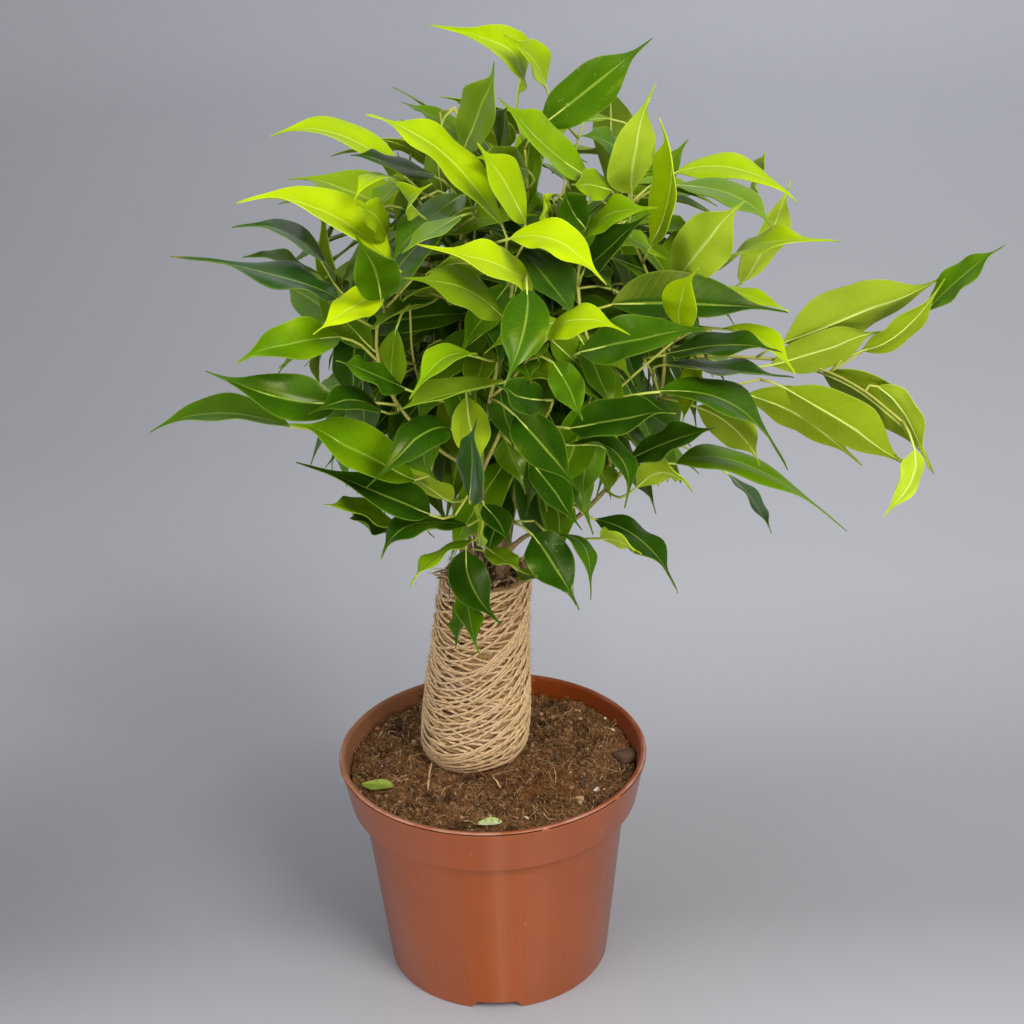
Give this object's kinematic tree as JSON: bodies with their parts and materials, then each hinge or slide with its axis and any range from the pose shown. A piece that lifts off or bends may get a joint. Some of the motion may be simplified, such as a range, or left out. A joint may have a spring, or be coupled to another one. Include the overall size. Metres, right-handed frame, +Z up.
{
  "type": "weeping fig in a nursery pot",
  "caption": "Small weeping fig of several cuttings bound in jute twine, growing in a terracotta-brown plastic nursery pot that stands on its flat base.",
  "frame": {"origin": "middle of the pot's base, on the surface that it stands on", "axes": "+Z up along the pot's axis; the side shown in the picture faces -Y, and the long spray of leaves reaches towards +X"},
  "size_m": [0.3366, 0.2517, 0.4365],
  "materials": {
    "pot_plastic": "gloss",
    "soil": "matte",
    "twine": "matte",
    "coir": "matte",
    "leaf": "satin",
    "bark": "matte",
    "fallen_leaf": "satin"
  },
  "bodies": {
    "root": {"pot": "pot_plastic", "soil": "soil", "twine_wrap": "twine", "stem_packing": "coir", "leafy_stem_1": "leaf", "leafy_stem_2": "leaf", "leafy_stem_3": "leaf", "leafy_stem_4": "leaf", "leafy_stem_5": "leaf", "leafy_stem_6": "leaf", "leafy_stem_7": "leaf", "fallen_leaf_1": "fallen_leaf", "fallen_leaf_2": "fallen_leaf"}
  },
  "joints": []
}
